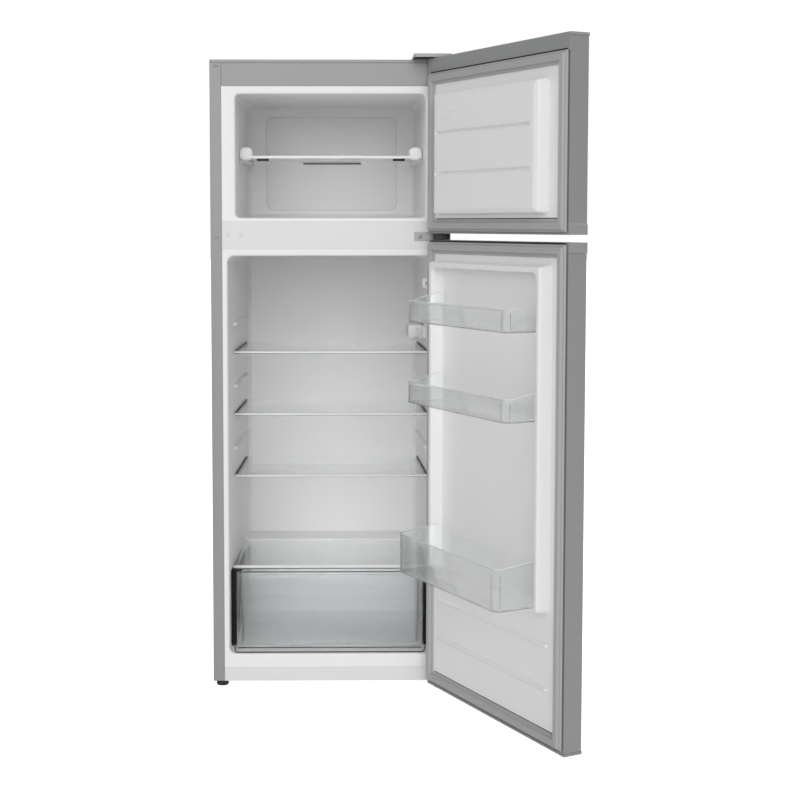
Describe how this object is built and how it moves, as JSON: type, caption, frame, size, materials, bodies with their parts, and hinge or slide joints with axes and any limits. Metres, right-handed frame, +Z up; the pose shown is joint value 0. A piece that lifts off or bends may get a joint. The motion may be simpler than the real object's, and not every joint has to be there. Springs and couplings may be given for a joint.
{
  "type": "top freezer refrigerator",
  "caption": "Tall silver-grey refrigerator with a freezer compartment above and a fridge below, both doors standing open, with glass shelves, a clear drawer and door bins.",
  "frame": {"origin": "centre of the footprint's bounding box on the floor, with both doors open as stored", "axes": "+X to the right seen from the front, +Y to the back, +Z up"},
  "size_m": [0.7764, 1.0208, 1.4483],
  "materials": {
    "cabinet_silver": "satin silver-grey paint on steel",
    "door_silver": "satin silver-grey paint on steel",
    "cap_grey": "moulded grey plastic",
    "liner_white": "semi-gloss white moulded sheet",
    "bar_white": "semi-gloss white paint",
    "gasket_grey": "matt soft vinyl",
    "foam": "rigid insulating foam",
    "clear_plastic": "clear moulded plastic",
    "shelf_glass": "clear toughened glass with ground edges",
    "galvanised": "zinc-plated sheet",
    "black_paint": "satin black paint",
    "black_plastic": "black moulded plastic",
    "black_rubber": "black rubber",
    "copper": "bare copper tube",
    "grey_plastic": "moulded grey plastic"
  },
  "bodies": {
    "cabinet": {"side_panel_left": "cabinet_silver", "side_panel_right": "cabinet_silver", "top_cover": "cabinet_silver", "top_fascia": "cabinet_silver", "back_panel": "cabinet_silver", "bottom_panel": "galvanised", "cabinet_foam": "foam", "freezer_liner": "liner_white", "fridge_liner": "liner_white", "mullion_bar": "bar_white", "mullion_plug_1": "bar_white", "mullion_plug_2": "bar_white", "bottom_crossbar": "bar_white", "crisper_cover": "shelf_glass", "thermostat_housing": "liner_white", "lamp_lens": "clear_plastic", "door_switch_body": "liner_white", "compressor_base_plate": "galvanised", "compressor": "black_paint", "terminal_box": "black_plastic", "drip_tray": "grey_plastic", "condenser": "black_paint", "filter_dryer": "copper", "discharge_pipe": "copper", "suction_pipe": "copper", "cable_gland": "black_rubber", "top_hinge": "galvanised", "top_hinge_cover": "grey_plastic", "middle_hinge": "galvanised", "middle_hinge_cover": "black_plastic", "bottom_hinge": "galvanised"},
    "freezer_door": {"freezer_door_skin": "door_silver", "freezer_door_foam": "foam", "freezer_door_liner": "liner_white", "freezer_door_top_cap": "cap_grey", "freezer_door_bottom_cap": "cap_grey", "freezer_door_gasket": "gasket_grey"},
    "fridge_door": {"fridge_door_skin": "door_silver", "fridge_door_foam": "foam", "fridge_door_liner": "liner_white", "fridge_door_top_cap": "cap_grey", "fridge_door_bottom_cap": "cap_grey", "fridge_door_gasket": "gasket_grey", "top_bin": "clear_plastic", "middle_bin": "clear_plastic", "bottle_bin": "clear_plastic"},
    "drawer": {"crisper_drawer": "clear_plastic"},
    "freezer_shelf": {"freezer_shelf_glass": "shelf_glass"},
    "fridge_shelf_1": {"fridge_shelf_glass_1": "shelf_glass", "fridge_shelf_trim_1": "liner_white"},
    "fridge_shelf_2": {"fridge_shelf_glass_2": "shelf_glass", "fridge_shelf_trim_2": "liner_white"},
    "fridge_shelf_3": {"fridge_shelf_glass_3": "shelf_glass", "fridge_shelf_trim_3": "liner_white"},
    "knob": {"thermostat_knob": "grey_plastic"},
    "plunger": {"door_switch_plunger": "liner_white"},
    "left_foot": {"front_foot_left": "black_plastic"},
    "right_foot": {"front_foot_right": "black_plastic"},
    "left_roller": {"rear_roller_left": "black_plastic"},
    "right_roller": {"rear_roller_right": "black_plastic"}
  },
  "joints": [
    {"name": "freezer_door_hinge", "type": "hinge", "parent": "cabinet", "child": "freezer_door", "pos_m": [0.13433, -0.03249, 1.25], "axis": [0, 0, 1], "range_deg": [-116.5, 13.5]},
    {"name": "fridge_door_hinge", "type": "hinge", "parent": "cabinet", "child": "fridge_door", "pos_m": [0.13433, -0.03249, 0.52], "axis": [0, 0, 1], "range_deg": [-116.5, 13.5]},
    {"name": "crisper_drawer_slide", "type": "slide", "parent": "cabinet", "child": "drawer", "axis": [0, -1, 0], "range_m": [0, 0.26]},
    {"name": "freezer_shelf_slide", "type": "slide", "parent": "cabinet", "child": "freezer_shelf", "axis": [0, -1, 0], "range_m": [0, 0.105]},
    {"name": "fridge_shelf_1_slide", "type": "slide", "parent": "cabinet", "child": "fridge_shelf_1", "axis": [0, -1, 0], "range_m": [0, 0.11]},
    {"name": "fridge_shelf_2_slide", "type": "slide", "parent": "cabinet", "child": "fridge_shelf_2", "axis": [0, -1, 0], "range_m": [0, 0.11]},
    {"name": "fridge_shelf_3_slide", "type": "slide", "parent": "cabinet", "child": "fridge_shelf_3", "axis": [0, -1, 0], "range_m": [0, 0.11]},
    {"name": "thermostat_knob_turn", "type": "hinge", "parent": "cabinet", "child": "knob", "pos_m": [0.08765, 0.17251, 0.81248], "axis": [0, -1, 0], "range_deg": [0, 270]},
    {"name": "door_switch_press", "type": "slide", "parent": "cabinet", "child": "plunger", "axis": [0, 1, 0], "range_m": [0, 0.005], "stiffness_N_per_m": 200},
    {"name": "left_foot_turn", "type": "hinge", "parent": "cabinet", "child": "left_foot", "pos_m": [-0.36867, 0.02451, 0], "axis": [0, 0, 1], "range_deg": [-180, 180]},
    {"name": "right_foot_turn", "type": "hinge", "parent": "cabinet", "child": "right_foot", "pos_m": [0.13733, 0.02451, 0], "axis": [0, 0, 1], "range_deg": [-180, 180]},
    {"name": "left_roller_turn", "type": "hinge", "parent": "cabinet", "child": "left_roller", "pos_m": [-0.35417, 0.47251, 0.012], "axis": [1, 0, 0], "range_deg": [-180, 180]},
    {"name": "right_roller_turn", "type": "hinge", "parent": "cabinet", "child": "right_roller", "pos_m": [0.12283, 0.47251, 0.012], "axis": [1, 0, 0], "range_deg": [-180, 180]}
  ]
}
